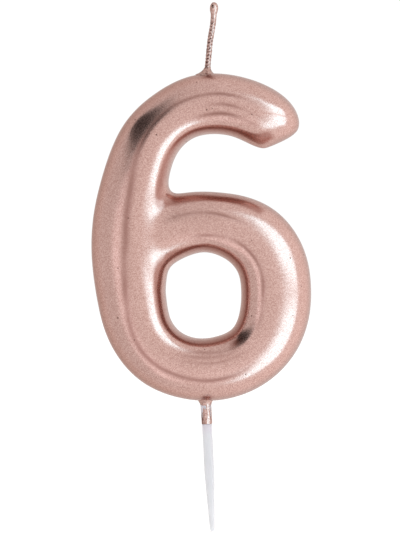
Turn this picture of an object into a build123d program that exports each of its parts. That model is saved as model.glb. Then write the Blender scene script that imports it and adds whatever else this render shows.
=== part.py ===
"""Number-six birthday candle: a puffed wax numeral on a plastic cake pick, dipped in metallic lacquer.

Frame: millimetres, +Z up, and the numeral reads as a six when seen along +Y. The origin is on the
pick's axis where the lacquer ends, which is level with the cake's top once the pick is pushed in.
The candle is three cores (wax, wick and pick) under one lacquer film, modelled as a zone per core.
"""

from build123d import *

import math
import os

# --- Numeral: the centreline of the stroke, and the elliptical section that follows it ---------
HALF_DEPTH = 7.4  # half of the numeral's front-to-back thickness along its crest
# (x, z, half width) along the stroke: from its free tip over the top, down the long back,
# round the bowl, and along the bowl's top to just short of the back.
STROKE = [
    (18.9, 70.0, 7.0),
    (15.9, 73.6, 7.15),
    (8.8, 77.3, 7.5),
    (-0.3, 78.3, 7.5),
    (-7.8, 75.6, 7.2),
    (-13.6, 70.0, 7.5),
    (-17.1, 61.4, 8.0),
    (-19.1, 50.0, 8.8),
    (-19.4, 40.0, 8.8),
    (-18.4, 30.9, 8.5),
    (-16.4, 23.0, 8.05),
    (-11.5, 16.7, 7.8),
    (-4.0, 13.6, 7.65),
    (4.1, 13.9, 7.85),
    (11.4, 17.5, 7.9),
    (15.8, 24.2, 8.4),
    (16.95, 32.3, 8.65),
    (15.5, 40.3, 8.65),
    (10.3, 46.5, 8.4),
    (2.6, 49.2, 7.6),
    (-4.5, 49.1, 7.7),
]
# The stroke's last stretch closes the bowl: it dives into the back, and gets a little flatter
# there, so that the two crests never meet face to face.
CLOSING = [(-11.5, 46.5, 8.1), (-18.0, 41.4, 7.9)]
CLOSING_DEPTH_LOSS = [0.3, 0.6, 0.9]  # at the last stroke station and the two closing ones
LEAD_IN = 6  # stations before the joint that give the closing stretch the stroke's own curve
TIP_FILLET = 5.0

# --- Lacquer film ---------------------------------------------------------------------------
BODY_COAT = 0.25
WICK_COAT = 0.15
PICK_COAT = 0.08
WICK_MENISCUS = 1.4  # radius of the film where it climbs from the numeral onto the wick
PICK_MENISCUS = 0.9
DROP_RADIUS = 1.0  # the drop that dried on the wick's free end
DROP_HALF_LENGTH = 1.6
DROP_BELOW_TIP = 0.5  # from the wick's end down to the drop's middle

# --- Wick -----------------------------------------------------------------------------------
WICK_RADIUS = 0.55
# (x, z) of the wick's route: from its free end down into the wax, then along the stroke's middle
# for as long as the candle is meant to burn.
WICK_ROUTE = [
    (1.75, 102.2),
    (1.5, 98.2),
    (0.85, 94.2),
    (0.4, 89.9),
    (-0.15, 84.2),
    (-2.9, 79.0),
    (-8.2, 74.8),
    (-13.4, 69.4),
    (-16.8, 61.2),
    (-18.7, 50.4),
    (-19.0, 40.0),
    (-18.0, 31.0),
    (-15.9, 23.6),
    (-11.8, 18.0),
]
EXPOSED_POINTS = 5  # of the route, from the free end to just inside the wax
ARC_SHARE = 0.45  # of the shorter run beside a bend, taken up by the bend's arc

# --- Pick: (radius, height) along its axis, with height 0 at the origin -------------------------
PICK_LEAN = 2.9  # degrees from upright, its point towards +X
PICK_RADIUS = 1.2
SHANK_LENGTH = 12.5  # the straight stretch below the origin
PICK_LENGTH = 26.3  # from the origin to the point
POINT_RADIUS = 0.55
POINT_ROUNDING = 0.45
ROOT_RADIUS = 1.4  # where the thickened root ends, just inside the wax
ROOT_HEIGHT = 7.0
ANCHOR_RADIUS = 0.85
BARB_RADIUS = 1.75
BARB_PITCH = 2.6
BARB_GAP = 0.6
BARB_COUNT = 3
NOSE_LENGTH = 1.8
NOSE_RADIUS = 0.4


def stroke_frames(inset):
    """For every station: a plane square to the centreline, and the section's two half sizes."""
    stations = STROKE + CLOSING
    centreline = Spline(*[(x, 0, z) for x, z, _ in stations])
    losses = [0.0] * (len(stations) - len(CLOSING_DEPTH_LOSS)) + CLOSING_DEPTH_LOSS
    frames = []
    for (x, z, half_width), loss in zip(stations, losses):
        along = centreline % centreline.param_at_point(Vector(x, 0, z))
        plane = Plane(origin=(x, 0, z), x_dir=(0, 1, 0), z_dir=along)
        frames.append((plane, HALF_DEPTH - loss - inset, half_width - inset))
    tip_plane, tip_half_depth, tip_half_width = frames[0]
    frames[0] = (tip_plane.offset(inset), tip_half_depth, tip_half_width)
    return frames


def stroke_loft(inset=0.0):
    """The stroke from its free tip to just short of the back, drawn in by inset all round."""
    with BuildPart() as stroke:
        for plane, half_depth, half_width in stroke_frames(inset)[: len(STROKE)]:
            with BuildSketch(plane):
                Ellipse(half_depth, half_width)
        loft()
    return stroke.part


def closing_loft(inset):
    """The stroke's last stretch, which runs on into the back and closes the bowl."""
    joint = len(STROKE) - 1
    frames = stroke_frames(inset)
    with BuildPart() as closing:
        for plane, half_depth, half_width in frames[joint - LEAD_IN :]:
            with BuildSketch(plane):
                Ellipse(half_depth, half_width)
        loft()
        split(bisect_by=frames[joint][0], keep=Keep.TOP)
    return closing.part


def numeral(inset, cores):
    """The six, drawn in from its outer surface by inset, with the cores' seats cut into it."""
    stroke = stroke_loft(inset)
    closing = closing_loft(inset)
    with BuildPart() as six:
        add(stroke)
        add(closing)
        for core in cores:
            add(core, mode=Mode.SUBTRACT)
        tip_face = six.faces().filter_by(GeomType.PLANE).sort_by(SortBy.AREA)[-1]
        fillet(tip_face.edges(), TIP_FILLET - inset)
    return six.part


def bend_radii(points):
    """Arc radii at a route's inner points, each as large as the shorter of its two runs allows."""
    radii = []
    for before, here, after in zip(points, points[1:], points[2:]):
        arriving = here - before
        leaving = after - here
        half_turn = math.radians(arriving.get_angle(leaving) / 2)
        shorter_run = min(arriving.length, leaving.length)
        radii.append(ARC_SHARE * shorter_run / math.tan(half_turn))
    return radii


def route_points(route):
    return [Vector(x, 0, z) for x, z in route]


def wick_tube(route, radius):
    """A round tube along a stretch of the wick's route, cut square at both ends."""
    points = route_points(route)
    with BuildPart() as tube:
        with BuildLine() as path:
            FilletPolyline(*points, radius=bend_radii(points))
        with BuildSketch(Plane(origin=path.wire() @ 0, z_dir=path.wire() % 0)):
            Circle(radius)
        sweep(path=path.wire())
    return tube.part


def turned_on_pick(outline):
    """A closed outline of (radius, height) points, turned about the pick's axis."""
    lean = math.radians(PICK_LEAN)
    plane = Plane(origin=(0, 0, 0), x_dir=(math.cos(lean), 0, math.sin(lean)), z_dir=(0, -1, 0))
    with BuildPart() as turned:
        with BuildSketch(plane):
            Polygon(*outline, align=None)
        revolve(axis=Axis(plane.origin, plane.y_dir))
    return turned.part


def plastic_pick():
    """Round spike with a blunt point, and a barbed anchor that the wax was cast around."""
    outline = [(0, -PICK_LENGTH), (POINT_RADIUS, -PICK_LENGTH), (PICK_RADIUS, -SHANK_LENGTH)]
    outline += [(PICK_RADIUS, 0), (ROOT_RADIUS, ROOT_HEIGHT), (ANCHOR_RADIUS, ROOT_HEIGHT)]
    for barb in range(BARB_COUNT):
        foot = ROOT_HEIGHT + BARB_GAP + barb * BARB_PITCH
        outline += [(ANCHOR_RADIUS, foot), (BARB_RADIUS, foot)]
        outline += [(ANCHOR_RADIUS, foot + BARB_PITCH - BARB_GAP)]
    anchor_top = outline[-1][1] + NOSE_LENGTH
    outline += [(NOSE_RADIUS, anchor_top), (0, anchor_top)]
    spike = turned_on_pick(outline)
    with BuildPart() as pick:
        add(spike)
        point_rim = pick.edges().filter_by(GeomType.CIRCLE).sort_by(Axis.Z)[0]
        fillet(point_rim, POINT_ROUNDING)
    return pick.part


def wick_sleeve():
    """Film along the wick's free stretch, with the drop that dried on its end."""
    tube = wick_tube(WICK_ROUTE[:EXPOSED_POINTS], WICK_RADIUS + WICK_COAT)
    end, below = route_points(WICK_ROUTE[:2])
    up = (end - below).normalized()
    middle = end - up * DROP_BELOW_TIP
    plane = Plane(origin=middle, x_dir=(up.Z, 0, -up.X), z_dir=(0, -1, 0))
    with BuildPart() as sleeve:
        with BuildSketch(plane):
            Ellipse(DROP_RADIUS, DROP_HALF_LENGTH)
            split(bisect_by=Plane.YZ, keep=Keep.TOP)
        revolve(axis=Axis(middle, up))
        add(tube)
    return sleeve.part


def pick_sleeve():
    """Film round the pick, from the origin up into the numeral."""
    outline = [(0, 0), (PICK_RADIUS + PICK_COAT, 0)]
    outline += [(ROOT_RADIUS + PICK_COAT, ROOT_HEIGHT), (0, ROOT_HEIGHT)]
    return turned_on_pick(outline)


def film_on(core, sleeve, meniscus):
    """Lacquer on a core where it stands out of the numeral: its sleeve flares onto the surface."""
    stroke = stroke_loft()
    with BuildPart() as film:
        add(sleeve)
        add(stroke)
        fillet(film.edges(Select.NEW), meniscus)
        add(stroke, mode=Mode.SUBTRACT)
        add(core, mode=Mode.SUBTRACT)
    return film.part


# --- Pieces ---------------------------------------------------------------------------------
os.makedirs("parts", exist_ok=True)

wick_core = wick_tube(WICK_ROUTE, WICK_RADIUS)
pick_core = plastic_pick()
skin_outside = numeral(0.0, [wick_core, pick_core])
skin_inside = numeral(BODY_COAT, [wick_core, pick_core])
wick_film = film_on(wick_core, wick_sleeve(), WICK_MENISCUS)
pick_film = film_on(pick_core, pick_sleeve(), PICK_MENISCUS)

with BuildPart() as wax_body:
    add(skin_inside)
wax_body.part.label = "wax_body"
export_step(wax_body.part, "parts/wax_body.step")

with BuildPart() as body_lacquer:
    add(skin_outside)
    add(skin_inside, mode=Mode.SUBTRACT)
body_lacquer.part.label = "body_lacquer"
export_step(body_lacquer.part, "parts/body_lacquer.step")

with BuildPart() as wick:
    add(wick_core)
wick.part.label = "wick"
export_step(wick.part, "parts/wick.step")

with BuildPart() as wick_lacquer:
    add(wick_film)
wick_lacquer.part.label = "wick_lacquer"
export_step(wick_lacquer.part, "parts/wick_lacquer.step")

with BuildPart() as cake_pick:
    add(pick_core)
cake_pick.part.label = "cake_pick"
export_step(cake_pick.part, "parts/cake_pick.step")

with BuildPart() as pick_lacquer:
    add(pick_film)
pick_lacquer.part.label = "pick_lacquer"
export_step(pick_lacquer.part, "parts/pick_lacquer.step")

runs = list(zip(route_points(WICK_ROUTE), route_points(WICK_ROUTE[1:])))
print("wick bend radii:", [round(radius, 1) for radius in bend_radii(route_points(WICK_ROUTE))])
print("wick length from volume:", round(wick.part.volume / (math.pi * WICK_RADIUS**2), 1))
print("wick runs added up:", round(sum((end - start).length for start, end in runs), 1))
for piece in (wax_body, body_lacquer, wick, wick_lacquer, cake_pick, pick_lacquer):
    print(piece.part.label, "valid" if piece.part.is_valid else "INVALID", round(piece.part.volume, 2))
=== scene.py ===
"""Looks of the number-six birthday candle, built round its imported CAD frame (metres, +Z up)."""

import math

import bmesh
import bpy
import numpy as np
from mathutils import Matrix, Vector, noise


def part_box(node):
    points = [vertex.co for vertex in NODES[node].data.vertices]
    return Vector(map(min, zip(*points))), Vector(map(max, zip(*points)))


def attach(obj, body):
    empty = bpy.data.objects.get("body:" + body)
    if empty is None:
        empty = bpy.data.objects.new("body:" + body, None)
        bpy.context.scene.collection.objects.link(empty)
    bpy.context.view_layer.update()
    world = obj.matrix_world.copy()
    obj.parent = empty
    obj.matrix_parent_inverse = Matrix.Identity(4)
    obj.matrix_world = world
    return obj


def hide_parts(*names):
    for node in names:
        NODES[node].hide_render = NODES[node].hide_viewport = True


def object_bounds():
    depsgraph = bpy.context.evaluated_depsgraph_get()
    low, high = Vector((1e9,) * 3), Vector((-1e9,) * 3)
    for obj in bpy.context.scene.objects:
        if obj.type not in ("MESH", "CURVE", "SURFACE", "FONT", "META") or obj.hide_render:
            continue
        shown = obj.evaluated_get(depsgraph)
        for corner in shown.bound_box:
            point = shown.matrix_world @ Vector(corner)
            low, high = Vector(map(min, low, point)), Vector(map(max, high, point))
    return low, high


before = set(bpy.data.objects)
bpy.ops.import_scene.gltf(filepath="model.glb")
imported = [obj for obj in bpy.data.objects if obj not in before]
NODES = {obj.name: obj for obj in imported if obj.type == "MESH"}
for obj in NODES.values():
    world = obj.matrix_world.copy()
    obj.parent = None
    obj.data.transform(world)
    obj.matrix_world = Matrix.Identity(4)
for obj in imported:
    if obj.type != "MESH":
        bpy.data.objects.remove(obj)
CAD_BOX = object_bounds()

MM = 0.001

# --- The numeral's centreline, as in the CAD source: x, z and half width, in millimetres ---------
STROKE = [
    (18.9, 70.0, 7.0),
    (15.9, 73.6, 7.15),
    (8.8, 77.3, 7.5),
    (-0.3, 78.3, 7.5),
    (-7.8, 75.6, 7.2),
    (-13.6, 70.0, 7.5),
    (-17.1, 61.4, 8.0),
    (-19.1, 50.0, 8.8),
    (-19.4, 40.0, 8.8),
    (-18.4, 30.9, 8.5),
    (-16.4, 23.0, 8.05),
    (-11.5, 16.7, 7.8),
    (-4.0, 13.6, 7.65),
    (4.1, 13.9, 7.85),
    (11.4, 17.5, 7.9),
    (15.8, 24.2, 8.4),
    (16.95, 32.3, 8.65),
    (15.5, 40.3, 8.65),
    (10.3, 46.5, 8.4),
    (2.6, 49.2, 7.6),
    (-4.5, 49.1, 7.7),
]
# The closing stretch has one more station than in the CAD source, so that it blends into the back.
CLOSING = [(-11.5, 46.5, 8.1), (-16.4, 42.0, 7.9), (-18.7, 35.5, 7.6)]
CLOSING_LOSS = 0.9  # how much flatter the closing stretch ends
DIVE_START = 19.0  # the station where it starts to get flatter
DIVE_LENGTH = 3.0  # in stations
BRANCH_SPLIT = 12.0  # the station at the bottom, between the back and the bowl
SAMPLES_PER_RUN = 24
# The free tip: how far its pillow reaches, how far it is drawn out, the tilt of its cut in degrees,
# its half width there, how much its corners are rounded, how much less on the inner side, the
# station where that rounding ends and the stations that it fades over, and where the tip ends.
TIP_ROUNDING = 10.5
TIP_REACH = 1.0
TIP_TILT = -6.0
TIP_HALF_WIDTH = 3.4
TIP_CORNER = 0.08
TIP_CORNER_LEAN = 0.052
TIP_CORNER_END = 2.6
TIP_CORNER_FADE = 1.8
TIP_END = 4.0
CREST_SHIFT = 1.5  # from the stroke's middle towards its inner side
CREST_SHIFT_START = (0.4, 2.2)  # a station, and the stations over which the shift grows from there
CREST_SHIFT_END = (21.8, 2.0)  # a station, and the stations over which it dies out up to there
SHOULDER = 2.6  # 2 would make the section an ellipse
FINE_BLUR = 0.35
JUNCTION_BLUR = 1.3
# Middle of the junction (x, z), the radius of its blending and of its blurring, and their fades.
JUNCTION = (-12.0, 48.0)
BLEND_RADIUS = 20.0
BLEND_FADE = 8.0
BLUR_RADIUS = 16.0
BLUR_FADE = 9.0
BLEND_AT_EDGE = 1.5
BLEND_AT_CREST = 0.3
# The plan's grid and the skin's grid: pitch, lowest x and z, and size in x and z.
FIELD_PITCH = 0.2
FIELD_LOW = (-31.0, 3.0)
FIELD_SIZE = (60.0, 86.0)
SKIN_PITCH = 0.3
SKIN_LOW = (-30.0, 4.5)
SKIN_SIZE = (57.5, 82.5)
SKIN_MARGIN = 1.0  # in front of the numeral and behind it
# The mould's long terrace, down the back and under the bowl: station, side offset, width.
LONG_TERRACE = [
    (1.6, -2.2, 0.4),
    (4.0, -1.7, 0.45),
    (5.2, -1.1, 0.7),
    (6.0, -0.7, 0.95),
    (7.5, -0.25, 1.0),
    (8.8, -1.2, 0.95),
    (10.0, -1.9, 0.8),
    (11.0, -2.1, 0.65),
    (12.5, -2.5, 0.5),
    (13.8, -2.3, 0.4),
]
LONG_TERRACE_STRENGTH = 0.75
# Its shorter terraces: side offset, first and last station, strength.
TERRACES = [
    (2.9, 1.2, 3.6, 0.95),
    (0.7, 1.2, 3.2, 0.65),
    (3.4, 14.6, 20.2, 0.85),
    (-2.0, 18.0, 20.8, 0.7),
    (4.0, 11.5, 13.6, 0.65),
    (2.8, 11.2, 13.8, 0.75),
    (1.5, 11.2, 14.0, 0.65),
]
TERRACE_WIDTH = 0.45
TERRACE_DEPTH = 0.06
TERRACE_FADE = 0.8  # stations over which a terrace starts and ends
# How far the terraces wander sideways, and how worn they are: middle, variation and least.
LONG_TERRACE_WANDER = 0.4
TERRACE_WANDER = 0.9
WANDER_SCALE = 0.09
LONG_TERRACE_WEAR = (0.95, 0.4, 0.5)
TERRACE_WEAR = (0.85, 0.9, 0.2)
WEAR_MOST = 1.2
WEAR_SCALE = 0.16
WEAR_PLACE = Vector((7.0, 0.0, 3.0))
# Where a dark red reflection of the opposite wall is painted under the shoulder: round the hole and along
# the gap (x, z).
HOLE_MIDDLE = (-0.8, 31.5)
HOLE_REACH = 15.0
GAP_LINE = ((-6.0, 62.5), (8.0, 62.0))
GAP_REACH = 12.5
RIM_HEIGHT = 0.68  # as a share of the half depth
RIM_HEIGHT_LEFT = 0.12  # more on walls that face +X
RIM_START = 0.38  # how far below that height the line starts
RIM_START_FADE = 0.36
RIM_END_FADE = 0.09  # above that height
RIM_FACING = (0.2, 0.4)  # the least that a wall faces the hole or gap, and the fade above that
RIM_REACH_FADE = 1.5
# Painted shade where the wick and the pick enter, and a painted dark reflection under the hole on the
# front only:
# x, z, half length, half width, its turn in degrees, and its share on the back.
PAINTED_DARK_SPOTS = [
    (0.1, 84.9, 1.5, 0.6, 0.0, 1.0),
    (0.0, 6.5, 1.3, 0.5, 0.0, 1.0),
    (7.3, 20.3, 2.0, 0.95, 42.0, 0.0),
]
SPOT_STRENGTH = 1.4
SWELLS = ((0.10, 0.05), (0.30, 0.012))  # the dipped skin's slow waves: waves per millimetre, height
SKIN_INSET = 0.06  # keeps the waves inside the CAD's surface
CORE_PITCH = 0.8
FILM_THICKNESS = 0.35
WAX_CLEARANCE = 0.02

# --- Wick and collar, in millimetres; the route repeats the CAD's exposed points, foot first ----------
WICK_ROUTE = [(-0.15, 84.2), (0.4, 89.9), (0.85, 94.2), (1.5, 98.2), (1.75, 102.2)]
WICK_RINGS = 230
WICK_AROUND = 44
WICK_FILM_RADIUS = 0.72
WICK_FOOT = 85.7  # height at which the wick leaves the numeral
MENISCUS_HEIGHT = 2.0
MENISCUS_REACH = 1.4
MENISCUS_CURVE = 2.2
MENISCUS_SUNK = 1.2  # how far it goes on into the numeral, 1 being its surface
DROP_RADIUS = 1.0
DROP_HALF_LENGTH = 1.6
DROP_BELOW_TIP = 0.5
END_ROUNDING = 1.0
JOIN_POWER = 6  # how tightly the drop joins the shaft
STRANDS = 3
BRAID_PITCH = 2.4
BRAID_DEPTH = 0.16
# The strands that turn the other way: their twist, start and height, next to the first ones'.
OTHER_TWIST = 0.8
OTHER_START = 0.6
OTHER_HEIGHT = 0.85
# Distances below the wick's end: where the braid shows, and where it has its full strength.
BRAID_START = 2.8
BRAID_START_FADE = 2.0
UPPER_BRAID_END = 6.5
UPPER_BRAID_FADE = 2.5
UPPER_BRAID_STRENGTH = 0.45
# Above the foot: where the braid grows out of the meniscus.
BRAID_FOOT = 0.4
BRAID_FOOT_FADE = 1.2
BRAID_FOOT_STRENGTH = 0.15
BRAID_ROUGHNESS = 0.07
DROP_ROUGHNESS = 0.02
WICK_LEAST_RADIUS = 0.02
WICK_END_RADIUS = 0.03
WICK_SHADE = (1.1, 0.9)  # how dark the painted shade in the braid's hollows and on its rough spots is
PICK_LEAN = 2.9  # degrees
PICK_RADIUS = 1.2
COLLAR_RADIUS = 1.3
COLLAR_FOOT = 6.0  # height at which the pick enters the numeral
COLLAR_MENISCUS_HEIGHT = 1.7
COLLAR_MENISCUS_REACH = 0.75
COLLAR_RELIEF = 0.09
COLLAR_EDGE = 0.25  # height over which the relief starts at the lower edge
COLLAR_LEAST_FILM = 0.03
COLLAR_EDGE_FILM = 0.01
COLLAR_SHADE = (2.4, -0.35)  # how dark the painted shade in the streaks' hollows is, and what that starts from
COLLAR_RINGS = 60
COLLAR_AROUND = 48

# --- Camera and studio ---------------------------------------------------------------------------
CAMERA_DISTANCE = 0.9
VIEW_HEIGHT = 0.1305  # of the picture, at the candle
VIEW_CENTRE = Vector((-0.0017, 0.0, 0.03856))
SENSOR = 36.0
TENT_ABOVE = 0.92
TENT_BEHIND = 0.74
TENT_LEFT = 0.86
TENT_RIGHT = 1.2
BACKDROP_RADIANCE = 1.03  # what the camera sees of the tent
WARM_TINT = (1.0, 0.87, 0.81)
SOFTBOX_Y = -0.4
SOFTBOX_ENDS = (0.035, 0.035)  # heights over which the cloth dims at its lower and upper ends
MAIN_TINT = (0.45, 0.97, 1.18)
FILL_TINT = (0.85, 0.90, 1.0)
# Name, low and high (x, z) corners, radiance, tint, widths over which it dims at left and right.
SOFTBOXES = [
    ("softbox_upper", (0.078, 0.044), (0.80, 0.50), 1.75, MAIN_TINT, (0.16, 0.05)),
    ("softbox_lower", (0.078, -0.56), (0.80, 0.020), 1.75, MAIN_TINT, (0.16, 0.05)),
    ("fill_left", (-0.38, -0.54), (-0.06, 0.12), 0.48, FILL_TINT, (0.14, 0.12)),
    ("fill_below", (-0.22, -0.50), (0.12, -0.04), 0.13, FILL_TINT, (0.08, 0.08)),
]
# Name, direction from the candle (polar, azimuth), half sizes outwards and round, share of felt.
DARK_CARDS = [
    ("stand_by_camera", 56, 139, 35, 12, 1.0),
    ("stand_behind_it", 62, 124, 12, 6, 0.3),
]
STUDIO_MIDDLE = Vector((0.0, 0.0, 0.045))
DARK_CARD_DISTANCE = 0.6
DARK_CARD_CORNERS = 40
FLOOR_RADIUS = 4.0


def link(obj):
    bpy.context.scene.collection.objects.link(obj)
    return obj


def mesh_object(name, bm):
    mesh = bpy.data.meshes.new(name)
    bm.to_mesh(mesh)
    bm.free()
    return link(bpy.data.objects.new(name, mesh))


def smooth_shade(obj):
    obj.data.polygons.foreach_set("use_smooth", [True] * len(obj.data.polygons))


def make_camera():
    data = bpy.data.cameras.new("camera")
    data.sensor_width = SENSOR
    data.lens = SENSOR * CAMERA_DISTANCE / VIEW_HEIGHT
    data.clip_start = 0.01
    data.clip_end = 50.0
    camera = link(bpy.data.objects.new("camera", data))
    camera.location = VIEW_CENTRE - Vector((0, CAMERA_DISTANCE, 0))
    camera.rotation_euler = (math.radians(90), 0, 0)
    bpy.context.scene.camera = camera


# --- Shader helpers ------------------------------------------------------------------------------
class Nodes:
    """A short way to add and link shader nodes in one material or world."""

    def __init__(self, tree):
        self.tree = tree
        tree.nodes.clear()

    def add(self, kind, inputs=None, **settings):
        node = self.tree.nodes.new(kind)
        for key, value in settings.items():
            setattr(node, key, value)
        for key, value in (inputs or {}).items():
            if isinstance(value, bpy.types.NodeSocket):
                self.tree.links.new(value, node.inputs[key])
            else:
                node.inputs[key].default_value = value
        return node

    def math(self, operation, a, b=0.0, c=0.0, clamp=False):
        node = self.add("ShaderNodeMath", {0: a, 1: b, 2: c}, operation=operation, use_clamp=clamp)
        return node.outputs[0]

    def ramp(self, value, low, high, to_low=0.0, to_high=1.0):
        node = self.add(
            "ShaderNodeMapRange",
            {"Value": value, "From Min": low, "From Max": high, "To Min": to_low, "To Max": to_high},
            interpolation_type="SMOOTHSTEP",
        )
        return node.outputs["Result"]

    def noise(self, where, scale, detail=2.0, rough=0.5):
        node = self.add(
            "ShaderNodeTexNoise", {"Vector": where, "Scale": scale, "Detail": detail, "Roughness": rough}
        )
        return node.outputs["Fac"]

    def mix(self, share, a, b, blend="MIX"):
        node = self.add("ShaderNodeMix", {0: share, 6: a, 7: b}, data_type="RGBA", blend_type=blend)
        return node.outputs[2]

    def attribute(self, name):
        return self.add("ShaderNodeAttribute", attribute_name=name).outputs["Fac"]

    def place(self):
        return self.add("ShaderNodeTexCoord").outputs["Object"]


def new_material(name):
    material = bpy.data.materials.new(name)
    material.use_nodes = True
    return material, Nodes(material.node_tree)


# --- Studio ----------------------------------------------------------------------------------------
def make_floor():
    low = CAD_BOX[0].z
    bm = bmesh.new()
    bmesh.ops.create_circle(bm, cap_ends=True, segments=96, radius=FLOOR_RADIUS)
    floor = mesh_object("studio_floor", bm)
    floor.location.z = low
    material, n = new_material("floor_paper")
    fibre = n.ramp(n.noise(n.place(), 900.0, 3.0), 0.3, 0.7)
    colour = n.mix(fibre, (0.92, 0.92, 0.92, 1), (0.95, 0.95, 0.95, 1))
    shader = n.add(
        "ShaderNodeBsdfPrincipled",
        {"Base Color": colour, "Roughness": 0.9, "Emission Color": (1, 1, 1, 1), "Emission Strength": 0.3},
    )
    n.add("ShaderNodeOutputMaterial", {"Surface": shader.outputs[0]})
    floor.data.materials.append(material)
    floor.visible_glossy = False
    floor.visible_shadow = False


def make_world():
    """A white tent: dimmer overhead and behind the candle, brighter at the right, warm at the left."""
    world = bpy.data.worlds.new("studio")
    bpy.context.scene.world = world
    world.use_nodes = True
    n = Nodes(world.node_tree)
    direction = n.add("ShaderNodeTexCoord").outputs["Generated"]
    split = n.add("ShaderNodeSeparateXYZ", {0: direction})
    up = n.ramp(split.outputs["Z"], -0.1, 0.9, 1.0, TENT_ABOVE)
    behind = n.ramp(split.outputs["Y"], 0.1, 0.9, 1.0, TENT_BEHIND)
    right = n.ramp(split.outputs["X"], -0.8, 0.95, TENT_LEFT, TENT_RIGHT)
    tent = n.math("MULTIPLY", n.math("MULTIPLY", up, behind), right)
    seen = n.add("ShaderNodeLightPath").outputs["Is Camera Ray"]
    unseen = n.math("SUBTRACT", 1.0, seen)
    strength = n.math("ADD", n.math("MULTIPLY", tent, unseen), n.math("MULTIPLY", seen, BACKDROP_RADIANCE))
    left = n.ramp(split.outputs["X"], -0.5, 0.4, 1.0, 0.1)
    warm = n.math("MULTIPLY", n.math("MULTIPLY", n.ramp(split.outputs["Y"], -0.3, 0.8), left), unseen)
    colour = n.mix(warm, (1, 1, 1, 1), WARM_TINT + (1,))
    background = n.add("ShaderNodeBackground", {"Color": colour, "Strength": strength})
    n.add("ShaderNodeOutputWorld", {"Surface": background.outputs[0]})


def direction(polar, azimuth):
    """Unit vector at an angle from the way to the camera, turned from +X towards +Z, in degrees."""
    out, turn = math.radians(polar), math.radians(azimuth)
    return Vector((math.sin(out) * math.cos(turn), -math.cos(out), math.sin(out) * math.sin(turn)))


def card(name, corners, material):
    """A flat studio card from its outline; it shows in the lacquer but never to the camera."""
    bm = bmesh.new()
    bm.faces.new([bm.verts.new(corner) for corner in corners])
    obj = mesh_object(name, bm)
    obj.data.materials.append(material)
    obj.visible_camera = False
    obj.visible_shadow = False
    return obj


def glow_material(name, radiance, tint, low, high, sides):
    """Cloth lit from behind, dimmer towards its edges; low and high are its (x, z) corners."""
    material, n = new_material(name)
    place = n.add("ShaderNodeSeparateXYZ", {0: n.place()})
    glow = radiance
    for axis, start, end, soft in (("X", low[0], high[0], sides), ("Z", low[1], high[1], SOFTBOX_ENDS)):
        rising = n.ramp(place.outputs[axis], start, start + soft[0])
        sinking = n.ramp(place.outputs[axis], end - soft[1], end, 1.0, 0.0)
        glow = n.math("MULTIPLY", n.math("MULTIPLY", rising, sinking), glow)
    light = n.add("ShaderNodeEmission", {"Color": tint + (1,), "Strength": glow})
    clear = n.add("ShaderNodeBsdfTransparent")
    both = n.add("ShaderNodeAddShader", {0: clear.outputs[0], 1: light.outputs[0]})
    n.add("ShaderNodeOutputMaterial", {"Surface": both.outputs[0]})
    return material


def softbox(name, low, high, radiance, tint, sides):
    """An upright glowing rectangle beside the camera; sides are the widths that dim at left and right."""
    corners = [
        (low[0], SOFTBOX_Y, low[1]),
        (low[0], SOFTBOX_Y, high[1]),
        (high[0], SOFTBOX_Y, high[1]),
        (high[0], SOFTBOX_Y, low[1]),
    ]
    obj = card(name, corners, glow_material(name + "_cloth", radiance, tint, low, high, sides))
    obj.visible_diffuse = False


def dark_card(name, polar, azimuth, half_out, half_round, share):
    """A dark oval in a direction from the candle, its half sizes in degrees outwards and round."""
    material, n = new_material(name + "_felt")
    fibre = n.mix(n.noise(n.place(), 60.0), (0.01, 0.01, 0.01, 1), (0.03, 0.03, 0.03, 1))
    felt = n.add("ShaderNodeBsdfPrincipled", {"Base Color": fibre, "Roughness": 1.0})
    clear = n.add("ShaderNodeBsdfTransparent")
    mixed = n.add("ShaderNodeMixShader", {0: share, 1: clear.outputs[0], 2: felt.outputs[0]})
    n.add("ShaderNodeOutputMaterial", {"Surface": mixed.outputs[0]})
    corners = []
    for step in range(DARK_CARD_CORNERS):
        turn = math.radians(360 // DARK_CARD_CORNERS * step)
        outwards = polar + half_out * math.cos(turn)
        sideways = azimuth + half_round * math.sin(turn) / math.sin(math.radians(max(outwards, 20)))
        corners.append(STUDIO_MIDDLE + direction(outwards, sideways) * DARK_CARD_DISTANCE)
    obj = card(name, corners, material)
    obj.visible_diffuse = False


def make_studio():
    make_floor()
    make_world()
    for row in SOFTBOXES:
        softbox(*row)
    for row in DARK_CARDS:
        dark_card(*row)


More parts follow.
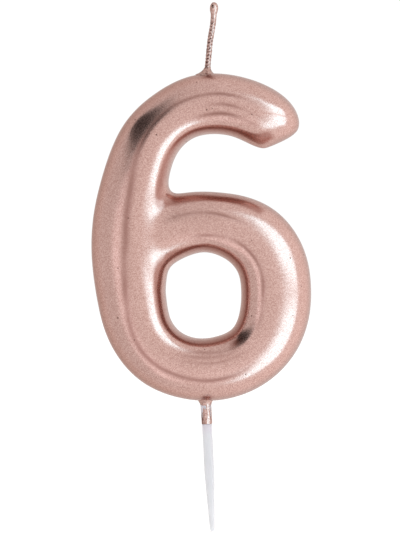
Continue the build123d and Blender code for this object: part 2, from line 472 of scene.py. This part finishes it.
# --- Materials -------------------------------------------------------------------------------------
def lacquer_material():
    """Satin rose gold with fine flake and a few pits, painted shade along the terraces, and painted
    reflection and shade round the hole, the gap and a few spots.
    """
    material, n = new_material("rose_gold_lacquer")
    where = n.place()
    flake = n.add("ShaderNodeTexVoronoi", {"Vector": where, "Scale": 6200.0}).outputs["Color"]
    shade = n.add("ShaderNodeSeparateColor", {0: flake}).outputs[0]
    colour = n.mix(shade, (0.475, 0.268, 0.227, 1), (0.735, 0.487, 0.433, 1))
    cloud = n.ramp(n.noise(where, 140.0, 3.0), 0.35, 0.7)
    colour = n.mix(n.math("MULTIPLY", cloud, 0.12), colour, (0.50, 0.30, 0.25, 1))
    # Painted shade: darker colour along the terraces' grooves.
    colour = n.mix(n.attribute("terrace_painted_shade"), colour, (0.30, 0.145, 0.12, 1))
    # Painted dark red reflection under the shoulder round the hole and the gap, and painted shade and
    # reflection in a few dark spots.
    painted_dark_share = n.math("MULTIPLY", n.attribute("painted_reflection_and_shade"), 0.62)
    colour = n.mix(painted_dark_share, colour, (0.27, 0.085, 0.06, 1))
    cells = n.add("ShaderNodeTexVoronoi", {"Vector": where, "Scale": 420.0})
    rare = n.add("ShaderNodeSeparateColor", {0: cells.outputs["Color"]}).outputs[0]
    dot = n.ramp(cells.outputs["Distance"], 0.055, 0.10, 1.0, 0.0)
    pit = n.math("MULTIPLY", dot, n.math("GREATER_THAN", rare, 0.5))
    colour = n.mix(n.math("MULTIPLY", pit, 0.9), colour, (0.10, 0.04, 0.03, 1))
    height = n.math("SUBTRACT", shade, n.math("MULTIPLY", pit, 3.0))
    bump = n.add("ShaderNodeBump", {"Height": height, "Strength": 0.10, "Distance": 0.00002})
    shader = n.add(
        "ShaderNodeBsdfPrincipled",
        {"Base Color": colour, "Metallic": 1.0, "Roughness": 0.21, "Normal": bump.outputs[0]},
    )
    n.add("ShaderNodeOutputMaterial", {"Surface": shader.outputs[0]})
    return material


def streaky_lacquer_material(name, painted_shade_colour, roughness):
    """The same lacquer where it is thin and uneven: painted shade darkens the hollows, and the ridges keep
    the brighter lacquer.
    """
    material, n = new_material(name)
    where = n.place()
    grain = n.ramp(n.noise(where, 2200.0, 4.0, 0.65), 0.3, 0.7)
    colour = n.mix(grain, (0.44, 0.25, 0.21, 1), (0.70, 0.49, 0.435, 1))
    speck = n.ramp(n.noise(where, 3200.0, 2.0, 0.5), 0.56, 0.66)
    # Painted shade in the hollows, together with a few dark specks.
    painted_hollow_shade = n.math("MAXIMUM", n.attribute("painted_hollow_shade"), n.math("MULTIPLY", speck, 0.5), clamp=True)
    colour = n.mix(painted_hollow_shade, colour, painted_shade_colour)
    bump = n.add("ShaderNodeBump", {"Height": grain, "Strength": 0.5, "Distance": 0.00004})
    shader = n.add(
        "ShaderNodeBsdfPrincipled",
        {"Base Color": colour, "Metallic": 1.0, "Roughness": roughness, "Normal": bump.outputs[0]},
    )
    n.add("ShaderNodeOutputMaterial", {"Surface": shader.outputs[0]})
    return material


def plastic_material():
    """Milky plastic, faintly lilac where the lacquer ends, with a few dark specks."""
    material, n = new_material("milky_plastic")
    where = n.place()
    height = n.add("ShaderNodeSeparateXYZ", {0: where}).outputs["Z"]
    lilac = n.ramp(height, -0.0035, 0.0, 0.0, 1.0)
    cloud = n.ramp(n.noise(where, 260.0, 3.0), 0.3, 0.7)
    colour = n.mix(cloud, (0.62, 0.625, 0.65, 1), (0.645, 0.65, 0.675, 1))
    colour = n.mix(n.math("MULTIPLY", lilac, 0.6), colour, (0.595, 0.545, 0.61, 1))
    cells = n.add("ShaderNodeTexVoronoi", {"Vector": where, "Scale": 330.0})
    rare = n.add("ShaderNodeSeparateColor", {0: cells.outputs["Color"]}).outputs[1]
    dot = n.ramp(cells.outputs["Distance"], 0.03, 0.06, 1.0, 0.0)
    speck = n.math("MULTIPLY", dot, n.math("GREATER_THAN", rare, 0.8))
    colour = n.mix(n.math("MULTIPLY", speck, 0.6), colour, (0.25, 0.25, 0.27, 1))
    bump = n.add("ShaderNodeBump", {"Height": cloud, "Strength": 0.15, "Distance": 0.00003})
    shader = n.add(
        "ShaderNodeBsdfPrincipled",
        {
            "Base Color": colour,
            "Roughness": 0.5,
            "Specular IOR Level": 0.25,
            "Subsurface Weight": 0.8,
            "Subsurface Radius": (1.0, 1.0, 1.0),
            "Subsurface Scale": 0.002,
            "Normal": bump.outputs[0],
        },
    )
    n.add("ShaderNodeOutputMaterial", {"Surface": shader.outputs[0]})
    return material


def wax_material():
    """Cast paraffin, a little cloudy."""
    material, n = new_material("cast_wax")
    cloud = n.ramp(n.noise(n.place(), 180.0, 4.0), 0.3, 0.7)
    colour = n.mix(cloud, (0.86, 0.80, 0.72, 1), (0.92, 0.87, 0.80, 1))
    bump = n.add("ShaderNodeBump", {"Height": cloud, "Strength": 0.2, "Distance": 0.0001})
    shader = n.add(
        "ShaderNodeBsdfPrincipled",
        {
            "Base Color": colour,
            "Roughness": 0.5,
            "Subsurface Weight": 0.3,
            "Subsurface Scale": 0.002,
            "Normal": bump.outputs[0],
        },
    )
    n.add("ShaderNodeOutputMaterial", {"Surface": shader.outputs[0]})
    return material


def cotton_material():
    """Waxed cotton with slanting strands."""
    material, n = new_material("waxed_cotton")
    strands = n.add(
        "ShaderNodeTexWave",
        {"Vector": n.place(), "Scale": 700.0, "Distortion": 2.0},
        bands_direction="DIAGONAL",
    ).outputs["Fac"]
    colour = n.mix(strands, (0.72, 0.66, 0.55, 1), (0.90, 0.86, 0.78, 1))
    bump = n.add("ShaderNodeBump", {"Height": strands, "Strength": 0.5, "Distance": 0.0001})
    shader = n.add(
        "ShaderNodeBsdfPrincipled",
        {"Base Color": colour, "Roughness": 0.7, "Normal": bump.outputs[0]},
    )
    n.add("ShaderNodeOutputMaterial", {"Surface": shader.outputs[0]})
    return material


def give(obj, material):
    obj.data.materials.clear()
    obj.data.materials.append(material)


# --- Numeral skin ------------------------------------------------------------------------------------
def spline_samples(stations):
    """Points, half widths and station numbers sampled along a smooth curve through the stations."""
    knots = np.array(stations, dtype=float)
    count = len(knots)
    system = np.eye(count)
    right = np.zeros_like(knots)
    for row in range(1, count - 1):
        system[row, row - 1 : row + 2] = (1, 4, 1)
        right[row] = 6 * (knots[row - 1] - 2 * knots[row] + knots[row + 1])
    bends = np.linalg.solve(system, right)
    rows = []
    numbers = []
    for run in range(count - 1):
        for step in range(SAMPLES_PER_RUN):
            b = step / SAMPLES_PER_RUN
            a = 1 - b
            cubic = ((a**3 - a) * bends[run] + (b**3 - b) * bends[run + 1]) / 6
            rows.append(a * knots[run] + b * knots[run + 1] + cubic)
            numbers.append(run + b)
    rows.append(knots[-1])
    numbers.append(count - 1.0)
    return np.array(rows), np.array(numbers)


def ease(share):
    """Smooth step from 0 to 1 as share goes from 0 to 1."""
    share = np.clip(share, 0, 1)
    return share * share * (3 - 2 * share)


def soften(grid, sigma):
    """A grid blurred by a Gaussian, its sigma in cells."""
    reach = int(3 * sigma)
    weights = np.exp(-0.5 * (np.arange(-reach, reach + 1) / sigma) ** 2)
    weights /= weights.sum()
    for axis in (0, 1):
        padded = np.pad(grid, [(reach, reach) if k == axis else (0, 0) for k in (0, 1)], mode="edge")
        length = grid.shape[axis]
        grid = sum(w * np.take(padded, np.arange(k, k + length), axis=axis) for k, w in enumerate(weights))
    return grid


def branch_field(x, z, rows, numbers):
    """1 on a branch's centreline, 0 at its edge; with the station number and the side offset."""
    best = np.full(x.shape, -1e9)
    index = np.zeros(x.shape, dtype=int)
    for row in range(len(rows)):
        cx, cz, width = rows[row]
        value = 1 - ((x - cx) ** 2 + (z - cz) ** 2) / width**2
        better = value > best
        best[better] = value[better]
        index[better] = row
    inner = np.clip(index, 1, len(rows) - 2)

    def at(shift):
        cx, cz, width = rows[inner + shift].T
        return 1 - ((x - cx) ** 2 + (z - cz) ** 2) / width**2

    left, here, right = at(-1), at(0), at(1)
    bend = left - 2 * here + right
    shift = np.clip(np.where(bend < -1e-12, 0.5 * (left - right) / np.minimum(bend, -1e-12), 0), -1, 1)
    peak = here - 0.25 * (left - right) * shift
    position = inner + shift
    tangent = rows[inner + 1][:, :2] - rows[inner - 1][:, :2]
    tangent /= np.linalg.norm(tangent, axis=1)[:, None]
    cx = np.interp(position, np.arange(len(rows)), rows[:, 0])
    cz = np.interp(position, np.arange(len(rows)), rows[:, 1])
    across = -(x - cx) * tangent[:, 1] + (z - cz) * tangent[:, 0]
    return np.maximum(peak, best), np.interp(position, np.arange(len(rows)), numbers), across


class Numeral:
    """The numeral's puffed shape: half its thickness squared, in units of the crest's, over x and z."""

    def __init__(self, half_depth):
        self.half_depth = half_depth
        rows, numbers = spline_samples([STROKE[0][:2] + (TIP_HALF_WIDTH,)] + STROKE[1:] + CLOSING)
        split = numbers <= BRANCH_SPLIT
        self.back = rows[split], numbers[split]
        self.bowl = rows[~split], numbers[~split]
        self.low = np.array(FIELD_LOW)
        self.counts = (np.array(FIELD_SIZE) / FIELD_PITCH).astype(int)
        grid_x = self.low[0] + FIELD_PITCH * np.arange(self.counts[0])
        grid_z = self.low[1] + FIELD_PITCH * np.arange(self.counts[1])
        x, z = np.meshgrid(grid_x, grid_z, indexing="ij")
        values, _, _ = self.exact(x.ravel(), z.ravel())
        grid = np.maximum(values.reshape(x.shape), -1.0)
        # All of it is eased a little, and the junction much more.
        fine = soften(grid, FINE_BLUR / FIELD_PITCH)
        broad = soften(grid, JUNCTION_BLUR / FIELD_PITCH)
        away = np.hypot(x - JUNCTION[0], z - JUNCTION[1])
        share = ease((BLUR_RADIUS - away) / BLUR_FADE)
        self.grid = fine + (broad - fine) * share

    def exact(self, x, z):
        """The field before it is blurred, with the station number and the side offset."""
        back, back_station, back_across = branch_field(x, z, *self.back)
        bowl, bowl_station, bowl_across = branch_field(x, z, *self.bowl)
        back = self.section(back, back_station, back_across)
        bowl = self.section(bowl, bowl_station, bowl_across)
        dive = np.clip((bowl_station - DIVE_START) / DIVE_LENGTH, 0, 1)
        bowl = bowl * (1 - CLOSING_LOSS / self.half_depth * dive) ** 2
        # The free tip: cut off a little aslant, with rounded edges and corners.
        first, second = self.back[0][0], self.back[0][1]
        way = (second - first)[:2]
        turned = math.atan2(way[1], way[0]) + math.radians(TIP_TILT)
        inside = (x - first[0]) * math.cos(turned) + (z - first[1]) * math.sin(turned) + TIP_REACH
        end = np.maximum(TIP_ROUNDING - inside, 0) / TIP_ROUNDING
        lean = np.clip(back_across / STROKE[0][2], -1, 1)
        corner = TIP_CORNER - TIP_CORNER_LEAN * lean
        corner = corner * ease((TIP_CORNER_END - back_station) / TIP_CORNER_FADE)
        falls = np.where(end < 1, 1 - end**2, 1 - end)
        pillow = (np.maximum(back, 0) * np.maximum(falls, 0) - corner) / (1 - corner)
        pillow = np.where((back > 0) & (falls > 0), pillow, np.minimum(back, falls) - corner)
        back = np.where(back_station < TIP_END, pillow, back)
        # The junction: the bowl's end runs smoothly into the back.
        top = np.clip(np.maximum(back, bowl), 0, 1)
        away = np.hypot(x - JUNCTION[0], z - JUNCTION[1])
        share = ease((BLEND_RADIUS - away) / BLEND_FADE)
        reach = (BLEND_AT_EDGE + (BLEND_AT_CREST - BLEND_AT_EDGE) * top) * share + 1e-9
        overlap = np.maximum(reach - np.abs(back - bowl), 0) / reach
        value = np.maximum(back, bowl) + overlap**3 * reach / 6
        on_back = back >= bowl
        station = np.where(on_back, back_station, bowl_station)
        across = np.where(on_back, back_across, bowl_across)
        return value, station, across

    def section(self, value, station, across):
        """Turns an even ellipse into the real section: its crest nearer the inner side, flatter on top."""
        widths = [TIP_HALF_WIDTH] + [row[2] for row in STROKE[1:] + CLOSING]
        width = np.interp(station, np.arange(len(widths)), widths)
        grows = ease((station - CREST_SHIFT_START[0]) / CREST_SHIFT_START[1])
        shift = CREST_SHIFT * grows * ease((CREST_SHIFT_END[0] - station) / CREST_SHIFT_END[1])
        side = np.where(across > 0, 1.0, -1.0) * width * np.sqrt(np.maximum(1 - value, 0))
        ratio = np.where(side > shift, (side - shift) / (width - shift), (shift - side) / (width + shift))
        return 1 - ratio**SHOULDER

    def smooth(self, x, z):
        """The field and its slopes, by cubic interpolation of the grid."""
        u = (x - self.low[0]) / FIELD_PITCH
        v = (z - self.low[1]) / FIELD_PITCH
        i = np.clip(np.floor(u).astype(int), 1, self.counts[0] - 3)
        j = np.clip(np.floor(v).astype(int), 1, self.counts[1] - 3)

        def weights(t):
            value = np.stack(
                [
                    -0.5 * t + t**2 - 0.5 * t**3,
                    1 - 2.5 * t**2 + 1.5 * t**3,
                    0.5 * t + 2 * t**2 - 1.5 * t**3,
                    -0.5 * t**2 + 0.5 * t**3,
                ]
            )
            slope = np.stack(
                [
                    -0.5 + 2 * t - 1.5 * t**2,
                    -5 * t + 4.5 * t**2,
                    0.5 + 4 * t - 4.5 * t**2,
                    -t + 1.5 * t**2,
                ]
            )
            return value, slope

        wu, du = weights(u - i)
        wv, dv = weights(v - j)
        value = np.zeros(x.shape)
        slope_x = np.zeros(x.shape)
        slope_z = np.zeros(x.shape)
        for a in range(4):
            for b in range(4):
                node = self.grid[i + a - 1, j + b - 1]
                value += node * wu[a] * wv[b]
                slope_x += node * du[a] * wv[b]
                slope_z += node * wu[a] * dv[b]
        return value, slope_x / FIELD_PITCH, slope_z / FIELD_PITCH

    def project(self, points):
        """Moves points (rows of x, y, z) onto the surface."""
        depth = self.half_depth
        for _ in range(5):
            value, slope_x, slope_z = self.smooth(points[:, 0], points[:, 2])
            level = value - (points[:, 1] / depth) ** 2
            slope = np.stack([slope_x, -2 * points[:, 1] / depth**2, slope_z], axis=1)
            steep = np.sum(slope**2, axis=1)
            points = points - slope * (level / np.maximum(steep, 1e-9))[:, None]
        return points


def surface_net(field, low, pitch):
    """Quads on the zero level of a field sampled on a grid, one vertex for each cell it crosses."""
    inside = field > 0
    counts = np.array(field.shape) - 1
    total = np.zeros(tuple(counts) + (3,))
    crossings = np.zeros(tuple(counts))
    quads = []
    corner = [slice(0, -1), slice(1, None)]
    for axis in range(3):
        others = [k for k in range(3) if k != axis]
        for a in range(2):
            for b in range(2):
                near = [None] * 3
                near[axis] = corner[0]
                near[others[0]] = corner[a]
                near[others[1]] = corner[b]
                far = list(near)
                far[axis] = corner[1]
                f0 = field[tuple(near)]
                f1 = field[tuple(far)]
                crossed = (f0 > 0) != (f1 > 0)
                share = np.where(crossed, f0 / np.where(crossed, f0 - f1, 1), 0)
                crossings += crossed
                total[..., axis] += share
                total[..., others[0]] += crossed * a
                total[..., others[1]] += crossed * b
    used = crossings > 0
    number = np.full(used.shape, -1)
    number[used] = np.arange(np.count_nonzero(used))
    cells = np.argwhere(used)
    points = low + pitch * (cells + total[used] / crossings[used][:, None])
    for axis in range(3):
        others = [(axis + 1) % 3, (axis + 2) % 3]
        near = [slice(None)] * 3
        near[axis] = slice(0, -1)
        far = [slice(None)] * 3
        far[axis] = slice(1, None)
        changed = inside[tuple(near)] != inside[tuple(far)]
        edge = np.argwhere(changed)
        starts_inside = inside[tuple(edge.T)]
        around = []
        for a, b in ((-1, -1), (0, -1), (0, 0), (-1, 0)):
            cell = edge.copy()
            cell[:, others[0]] += a
            cell[:, others[1]] += b
            around.append(number[tuple(cell.T)])
        ring = np.stack(around, axis=1)
        ring[~starts_inside] = ring[~starts_inside][:, ::-1]
        quads.append(ring)
    return points, np.concatenate(quads)


def between_stations(station, start, end):
    """1 between two stations, fading to 0 at each of them."""
    return np.clip(np.minimum(station - start, end - station) / TERRACE_FADE, 0, 1)


def worn(wear_noise, wear):
    """The strength left in each place, for a wear of middle, variation and least."""
    middle, variation, least = wear
    return np.clip(middle + variation * wear_noise, least, WEAR_MOST)


def terrace_marks(points, station, across):
    """The lines that the mould's terraces leave, from 0 to 1, a little uneven along their length; they cut
    shallow grooves, and painted shade darkens the colour along them.
    """
    wander = np.array([noise.noise(Vector(p) * WANDER_SCALE) for p in points])
    wear_noise = np.array([noise.noise(Vector(p) * WEAR_SCALE + WEAR_PLACE) for p in points])
    stations, offsets, widths = np.array(LONG_TERRACE).T
    offset = across - np.interp(station, stations, offsets) - LONG_TERRACE_WANDER * wander
    width = np.interp(station, stations, widths)
    shown = between_stations(station, stations[0], stations[-1]) * worn(wear_noise, LONG_TERRACE_WEAR)
    marks = LONG_TERRACE_STRENGTH * shown * np.exp(-((offset / width) ** 2))
    for side, start, end, strength in TERRACES:
        offset = across - side - TERRACE_WANDER * wander
        shown = between_stations(station, start, end) * worn(wear_noise, TERRACE_WEAR)
        marks = np.maximum(marks, strength * shown * np.exp(-((offset / TERRACE_WIDTH) ** 2)))
    return marks


def painted_rim_reflection(points, normals, half_depth):
    """Painted reflection under the shoulder along the hole and the gap: a dark red line standing for the
    opposite wall, from 0 to 1.
    """
    plan = points[:, [0, 2]]
    flat = normals[:, [0, 2]]
    flat = flat / np.maximum(np.linalg.norm(flat, axis=1), 1e-6)[:, None]
    start, end = np.array(GAP_LINE)
    share = np.clip((plan - start) @ (end - start) / np.sum((end - start) ** 2), 0, 1)
    gap_middle = start + share[:, None] * (end - start)
    least, fade = RIM_FACING
    facing = np.zeros(len(points))
    for middle, reach in ((np.array(HOLE_MIDDLE), HOLE_REACH), (gap_middle, GAP_REACH)):
        way = middle - plan
        away = np.linalg.norm(way, axis=1)
        towards = np.sum(way * flat, axis=1) / np.maximum(away, 1e-6)
        near = ease((reach - away) / RIM_REACH_FADE)
        facing = np.maximum(facing, ease((towards - least) / fade) * near)
    height = np.abs(points[:, 1]) / half_depth
    peak = RIM_HEIGHT + RIM_HEIGHT_LEFT * np.clip(flat[:, 0], 0, 1)
    rising = ease((height - peak + RIM_START) / RIM_START_FADE)
    return facing * rising * ease((peak + RIM_END_FADE - height) / RIM_END_FADE)


def painted_spot_darkening(points):
    """Painted dark oval spots, from 0 to the spots' strength: painted shade at the wick's and pick's
    roots, and a painted dark reflection under the hole.
    """
    marks = np.zeros(len(points))
    for x, z, half_length, half_width, turn, on_back in PAINTED_DARK_SPOTS:
        way = math.cos(math.radians(turn)), math.sin(math.radians(turn))
        along = (points[:, 0] - x) * way[0] + (points[:, 2] - z) * way[1]
        aside = (points[:, 2] - z) * way[0] - (points[:, 0] - x) * way[1]
        spot = np.exp(-((along / half_length) ** 2) - (aside / half_width) ** 2)
        marks = np.maximum(marks, SPOT_STRENGTH * spot * np.where(points[:, 1] > 0, on_back, 1.0))
    return marks


def waviness(points):
    """Slow swells of the dipped skin, in millimetres."""
    return np.array(
        [sum(noise.noise(Vector(p) * scale) * height for scale, height in SWELLS) for p in points]
    )


def numeral_surface(shape, pitch):
    """Points and quads of the numeral's outer surface, in millimetres."""
    half = shape.half_depth + SKIN_MARGIN
    grid_low = np.array((SKIN_LOW[0], -half, SKIN_LOW[1]))
    counts = (np.array((SKIN_SIZE[0], 2 * half, SKIN_SIZE[1])) / pitch).astype(int)
    x, y, z = [grid_low[k] + pitch * np.arange(counts[k]) for k in range(3)]
    flat_x, flat_z = np.meshgrid(x, z, indexing="ij")
    plan, _, _ = shape.smooth(flat_x.ravel(), flat_z.ravel())
    field = plan.reshape(flat_x.shape)[:, None, :] - (y[None, :, None] / shape.half_depth) ** 2
    points, quads = surface_net(field, grid_low, pitch)
    return shape.project(points), quads


def surface_normals(points, quads):
    """Smooth normals of a quad mesh: each quad's, weighted by its area, added at its corners."""
    a, b, c, d = [points[quads[:, k]] for k in range(4)]
    faces = np.cross(c - a, d - b)
    normals = np.zeros(points.shape)
    for k in range(4):
        np.add.at(normals, quads[:, k], faces)
    return normals / np.maximum(np.linalg.norm(normals, axis=1), 1e-12)[:, None]


def new_piece(name, points, faces, values=None):
    """A mesh piece from points in millimetres, with any named values kept on its points."""
    mesh = bpy.data.meshes.new(name)
    mesh.from_pydata((np.asarray(points) * MM).tolist(), [], [list(face) for face in faces])
    for key, numbers in (values or {}).items():
        layer = mesh.attributes.new(key, "FLOAT", "POINT")
        layer.data.foreach_set("value", np.asarray(numbers, dtype=float))
    mesh.validate()
    mesh.update()
    obj = link(bpy.data.objects.new(name, mesh))
    smooth_shade(obj)
    return obj


def make_numeral():
    """The lacquer as a closed film with an outer and an inner face, and the wax just inside it."""
    low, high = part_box("body_lacquer")
    shape = Numeral((high.y - low.y) / 2 / MM)
    points, quads = numeral_surface(shape, SKIN_PITCH)
    _, station, across = shape.exact(points[:, 0], points[:, 2])
    marks = terrace_marks(points, station, across)
    normals = surface_normals(points, quads)
    # Painted reflection round the hole and the gap, and painted shade and reflection in the dark spots;
    # only the lacquer's colour uses them.
    painted_dark_bands = np.maximum(painted_rim_reflection(points, normals, shape.half_depth), painted_spot_darkening(points))
    outer = points + normals * (waviness(points) - TERRACE_DEPTH * marks - SKIN_INSET)[:, None]
    core, core_quads = numeral_surface(shape, CORE_PITCH)
    core_normals = surface_normals(core, core_quads)
    core = core + core_normals * (waviness(core) - SKIN_INSET)[:, None]
    inner = core - core_normals * FILM_THICKNESS
    both = np.concatenate([outer, inner])
    faces = np.concatenate([quads, core_quads[:, ::-1] + len(outer)])
    unseen = np.zeros(len(inner))
    # Painted shade along the terraces, and painted reflection and shade at the rims and spots, kept for
    # the lacquer's colour.
    values = {"terrace_painted_shade": np.concatenate([marks, unseen]), "painted_reflection_and_shade": np.concatenate([painted_dark_bands, unseen])}
    film = new_piece("numeral_lacquer", both, faces, values)
    wax = new_piece("numeral_wax", core - core_normals * (FILM_THICKNESS + WAX_CLEARANCE), core_quads)
    return film, wax


def natural_route(route, count):
    """Evenly spaced points on a smooth curve through (x, z) points, and their distances along it."""
    rows, _ = spline_samples([(x, z, 0.0) for x, z in route])
    steps = np.concatenate([[0], np.cumsum(np.linalg.norm(np.diff(rows[:, :2], axis=0), axis=1))])
    even = np.linspace(0, steps[-1], count)
    x = np.interp(even, steps, rows[:, 0])
    z = np.interp(even, steps, rows[:, 1])
    return x, z, even


def make_sleeve(name, x, z, radius, painted_hollow_shade):
    """A closed skin round a path: radius and hollow (the painted shade in its hollows) are arrays of rings
    by points round them.
    """
    rings, around = radius.shape
    tangent = np.stack([np.gradient(x), np.gradient(z)], axis=1)
    tangent /= np.linalg.norm(tangent, axis=1)[:, None]
    turn = 2 * np.pi * np.arange(around) / around
    # Sideways in the plane of the path; the depth is along Y.
    side = np.stack([tangent[:, 1], -tangent[:, 0]], axis=1)
    px = x[:, None] + side[:, 0:1] * radius * np.cos(turn)
    py = radius * np.sin(turn)
    pz = z[:, None] + side[:, 1:2] * radius * np.cos(turn)
    points = np.stack([px, py, pz], axis=2).reshape(-1, 3)
    ends = np.array([(x[0], 0, z[0]), (x[-1], 0, z[-1])])
    faces = []
    for ring in range(rings - 1):
        for k in range(around):
            after = (k + 1) % around
            base = ring * around
            faces.append((base + k, base + after, base + around + after, base + around + k))
    first, last = len(points), len(points) + 1
    for k in range(around):
        after = (k + 1) % around
        faces.append((first, after, k))
        faces.append((last, (rings - 1) * around + k, (rings - 1) * around + after))
    values = {"painted_hollow_shade": np.concatenate([np.clip(painted_hollow_shade, 0, 1).ravel(), [0, 0]])}
    return new_piece(name, np.concatenate([points, ends]), faces, values)


def round_noise(turns, heights, radius, waves, start=0.0):
    """Noise on a cylinder, a row for each height; waves are per millimetre of height."""
    return np.array(
        [
            [
                noise.noise(Vector((math.cos(t) * radius, math.sin(t) * radius, height * waves + start)))
                for t in turns
            ]
            for height in heights
        ]
    )


def make_wick_film():
    """The lacquered braid: twisted strands that smooth out towards the drop on its free end."""
    tip = np.array(WICK_ROUTE[-1])
    before = np.array(WICK_ROUTE[-2])
    way = (tip - before) / np.linalg.norm(tip - before)
    route = list(WICK_ROUTE[:-1]) + [tuple(tip), tuple(tip + way * (DROP_HALF_LENGTH - DROP_BELOW_TIP))]
    x, z, s = natural_route(route, WICK_RINGS)
    below_top = s[-1] - s
    drop_place = (below_top - DROP_HALF_LENGTH) / DROP_HALF_LENGTH
    drop = DROP_RADIUS * np.sqrt(np.clip(1 - drop_place**2, 0, 1))
    foot = np.clip(1 - (z - WICK_FOOT) / MENISCUS_HEIGHT, 0, MENISCUS_SUNK)
    round_off = np.sqrt(np.clip(1 - np.clip(1 - below_top / END_ROUNDING, 0, 1) ** 2, 0, 1))
    shaft = WICK_FILM_RADIUS * np.where(below_top < END_ROUNDING, round_off, 1.0)
    joined = (shaft**JOIN_POWER + drop**JOIN_POWER) ** (1 / JOIN_POWER)
    plain = joined + MENISCUS_REACH * foot**MENISCUS_CURVE
    turn = 2 * np.pi * np.arange(WICK_AROUND) / WICK_AROUND
    twist = np.pi * 2 * s / BRAID_PITCH
    one = np.abs(np.cos(STRANDS / 2 * (turn[None, :] - twist[:, None])))
    other = np.abs(np.cos(STRANDS / 2 * (turn[None, :] + twist[:, None] * OTHER_TWIST) + OTHER_START))
    ridges = np.maximum(one, OTHER_HEIGHT * other)
    rough = round_noise(turn, s, 1.3, 1.9) + 0.6 * round_noise(turn, s, 2.9, 4.1, 5.0)
    lower = np.clip((below_top - UPPER_BRAID_END) / UPPER_BRAID_FADE, 0, 1)
    strength = np.clip((below_top - BRAID_START) / BRAID_START_FADE, 0, 1)
    strength = strength * (UPPER_BRAID_STRENGTH + (1 - UPPER_BRAID_STRENGTH) * lower)
    strength = strength * np.clip((z - WICK_FOOT - BRAID_FOOT) / BRAID_FOOT_FADE, BRAID_FOOT_STRENGTH, 1)
    strength = strength[:, None]
    relief = BRAID_DEPTH * (1 - ridges) + BRAID_ROUGHNESS * rough
    radius = plain[:, None] - strength * relief - DROP_ROUGHNESS * rough * (1 - strength)
    radius = np.maximum(radius, WICK_LEAST_RADIUS)
    radius[-1] = WICK_END_RADIUS
    # Painted shade: the braid's hollows and rough spots are darker.
    painted_hollow_shade = strength * np.clip((1 - ridges) * WICK_SHADE[0] + rough * WICK_SHADE[1], 0, 1)
    return make_sleeve("wick_film", x, z, radius, painted_hollow_shade)


def make_collar():
    """The film on the pick's root: streaky, with an uneven lower edge and a foot on the numeral."""
    height = np.linspace(0.0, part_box("pick_lacquer")[1].z / MM, COLLAR_RINGS)
    x = -height * math.tan(math.radians(PICK_LEAN))
    turn = 2 * np.pi * np.arange(COLLAR_AROUND) / COLLAR_AROUND
    foot = np.clip(1 - (COLLAR_FOOT - height) / COLLAR_MENISCUS_HEIGHT, 0, 3)
    plain = COLLAR_RADIUS + COLLAR_MENISCUS_REACH * foot**2
    streaks = round_noise(turn, height, 2.6, 0.16) + 0.5 * round_noise(turn, height, 6.0, 0.7)
    edge = np.clip(height / COLLAR_EDGE, 0, 1)
    radius = plain[:, None] + COLLAR_RELIEF * streaks * edge[:, None]
    radius = np.maximum(radius, PICK_RADIUS + COLLAR_LEAST_FILM)
    radius[0] = PICK_RADIUS + COLLAR_EDGE_FILM
    # Painted shade: the streaks' hollows are darker.
    painted_hollow_shade = np.clip(-streaks * COLLAR_SHADE[0] + COLLAR_SHADE[1], 0, 1)
    return make_sleeve("collar_film", x, height, radius, painted_hollow_shade)


bpy.context.scene.view_settings.view_transform = "Standard"
make_camera()
make_studio()
lacquer = lacquer_material()
wax = wax_material()
film, core = make_numeral()
wick_film = make_wick_film()
collar = make_collar()
wick_coat = streaky_lacquer_material("wick_lacquer_skin", (0.10, 0.04, 0.035, 1), 0.22)
collar_coat = streaky_lacquer_material("collar_lacquer_skin", (0.20, 0.10, 0.09, 1), 0.12)
# Each piece, its material and slot, and the CAD node that it replaces.
for piece, material, slot, node in (
    (film, lacquer, "metallic_lacquer", "body_lacquer"),
    (core, wax, "wax", "wax_body"),
    (wick_film, wick_coat, "metallic_lacquer", "wick_lacquer"),
    (collar, collar_coat, "metallic_lacquer", "pick_lacquer"),
):
    give(piece, material)
    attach(piece, "root")
    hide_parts(node)
for node in ("body_lacquer", "wick_lacquer", "pick_lacquer"):
    give(NODES[node], lacquer)
give(NODES["cake_pick"], plastic_material())
give(NODES["wax_body"], wax)
give(NODES["wick"], cotton_material())
